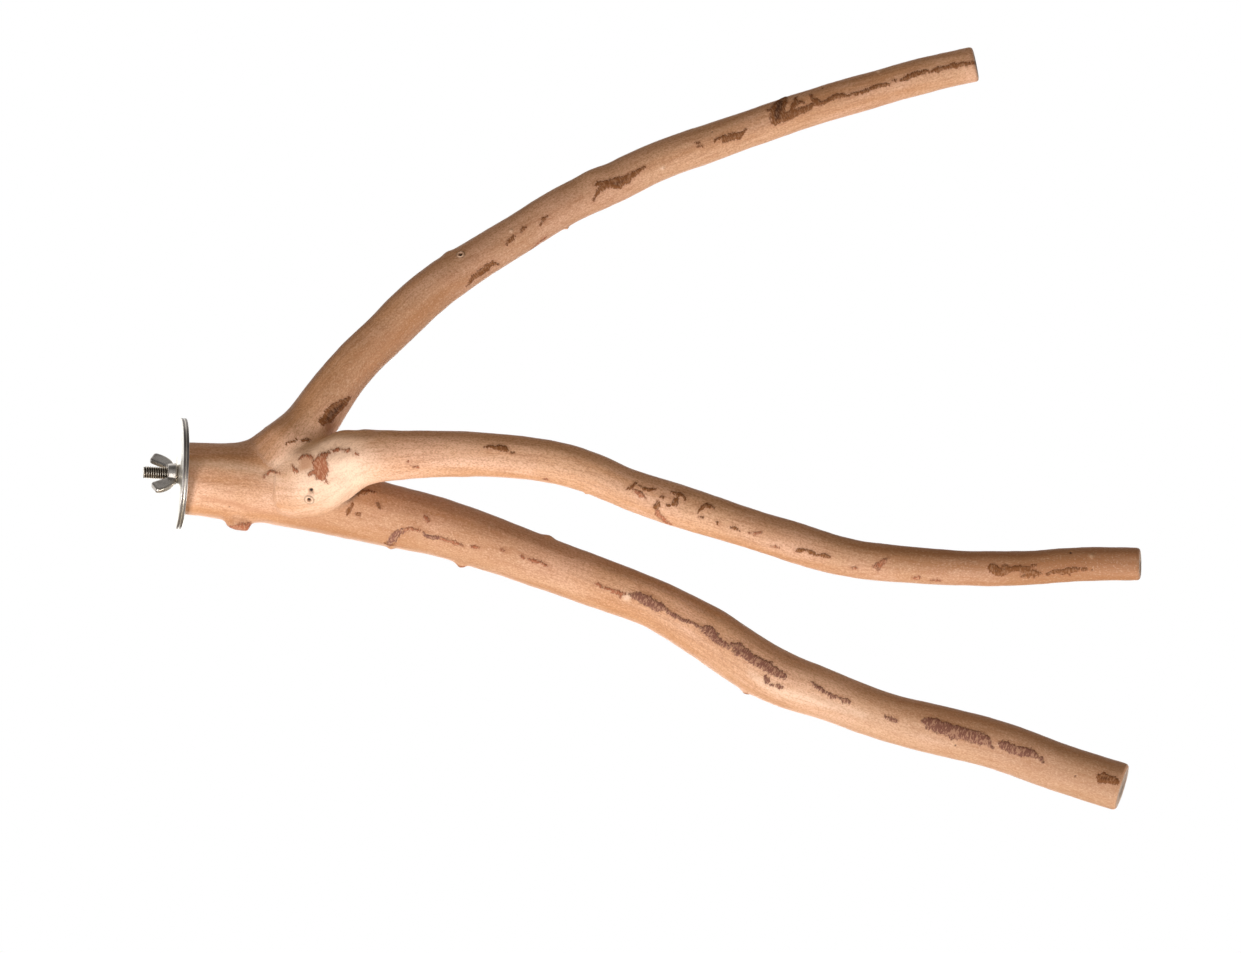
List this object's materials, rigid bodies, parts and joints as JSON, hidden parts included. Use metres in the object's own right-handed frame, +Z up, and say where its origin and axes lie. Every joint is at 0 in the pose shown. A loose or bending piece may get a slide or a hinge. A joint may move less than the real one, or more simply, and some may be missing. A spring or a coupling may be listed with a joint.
{
  "type": "bird perch",
  "caption": "Natural forked branch perch with spreading arms, clamped to cage wires between large washers by a hanger bolt and wing nut.",
  "frame": {"origin": "on the hanger bolt's axis, in the plane where the two washers meet, which is where the cage wires are clamped", "axes": "+X along the bolt into the branch, +Z up as the perch hangs in the cage, +Y sideways to the back"},
  "size_m": [0.4367, 0.1639, 0.3413],
  "materials": {
    "peeled_wood": "peeled and sanded branch with brown bark remnants",
    "washer_steel": "bright zinc plate",
    "bolt_steel": "zinc plate",
    "nut_steel": "zinc plate"
  },
  "bodies": {
    "perch": {"forked_branch": "peeled_wood", "hanger_bolt": "bolt_steel", "inner_washer": "washer_steel"},
    "outer_washer": {"outer_washer": "washer_steel"},
    "wing_nut": {"wing_nut": "nut_steel"}
  },
  "joints": [
    {"name": "washer_slide", "type": "slide", "parent": "perch", "child": "outer_washer", "axis": [-1, 0, 0], "range_m": [0, 0.009]},
    {"name": "nut_turn", "type": "hinge", "parent": "outer_washer", "child": "wing_nut", "pos_m": [0, 0, 0], "axis": [-1, 0, 0], "range_deg": [0, 3240]}
  ],
  "couplings": [
    {"joint": "nut_turn", "follows": "washer_slide", "rad_per_m": 6283.2}
  ]
}
